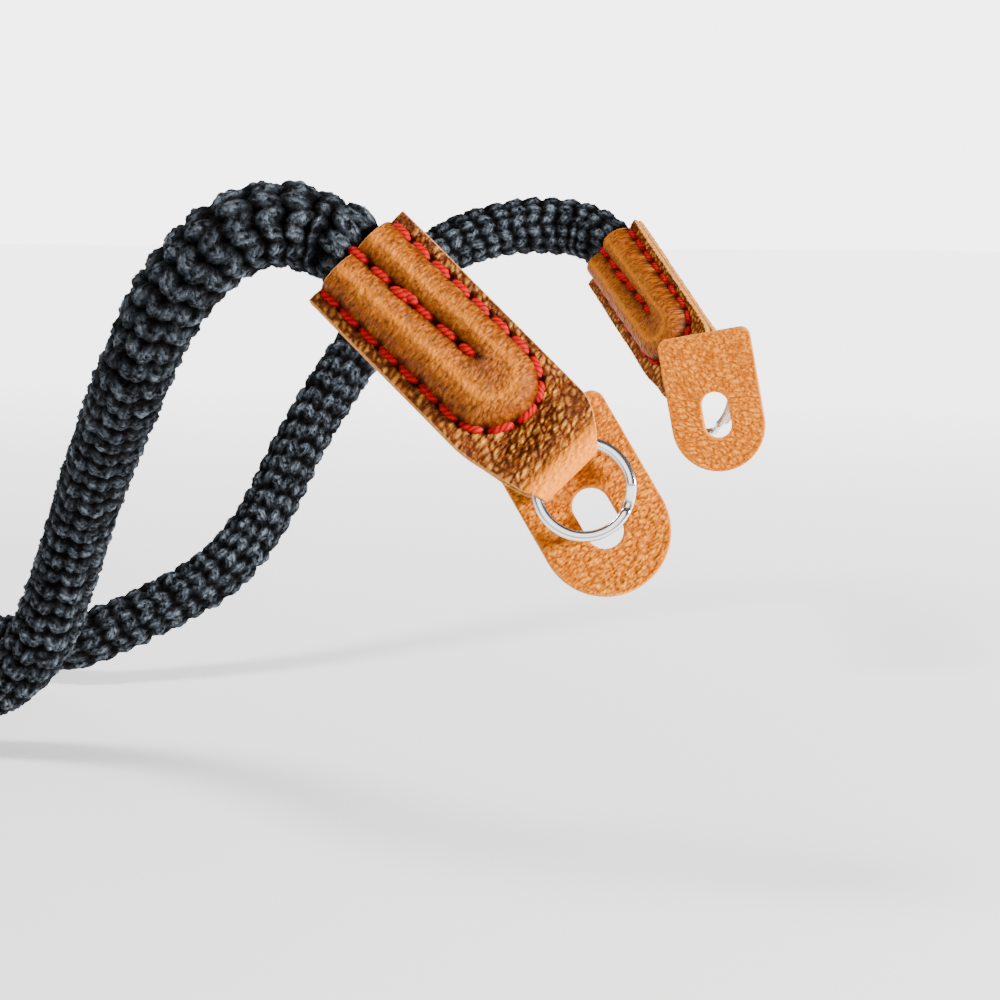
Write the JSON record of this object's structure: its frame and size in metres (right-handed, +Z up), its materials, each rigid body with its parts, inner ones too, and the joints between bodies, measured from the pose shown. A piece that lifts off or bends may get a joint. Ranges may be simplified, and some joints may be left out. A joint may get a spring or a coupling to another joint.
{
  "type": "rope camera neck strap",
  "caption": "Knitted rope neck strap with stitched leather ends, each on a split ring with a slotted leather guard patch, shaped as it hangs from a camera.",
  "frame": {"origin": "the near lug point: where the wire of the near split ring hangs on the lug", "axes": "+Z up, +Y level from the near lug to the far one, +X level and forward, away from where the rope trails"},
  "size_m": [0.3193, 0.1819, 0.1026],
  "materials": {
    "black_cotton": "matt knitted cotton",
    "tan_leather": "semi-matt grained cowhide",
    "orange_leather": "semi-matt fine-grained cowhide",
    "nickel": "polished plate on steel wire"
  },
  "bodies": {
    "root": {"rope": "black_cotton", "rope_end_near": "black_cotton", "rope_end_far": "black_cotton", "leather_end_near": "tan_leather", "leather_end_far": "tan_leather", "lug_patch_near": "orange_leather", "lug_patch_far": "orange_leather", "split_ring_near": "nickel", "split_ring_far": "nickel"}
  },
  "joints": []
}
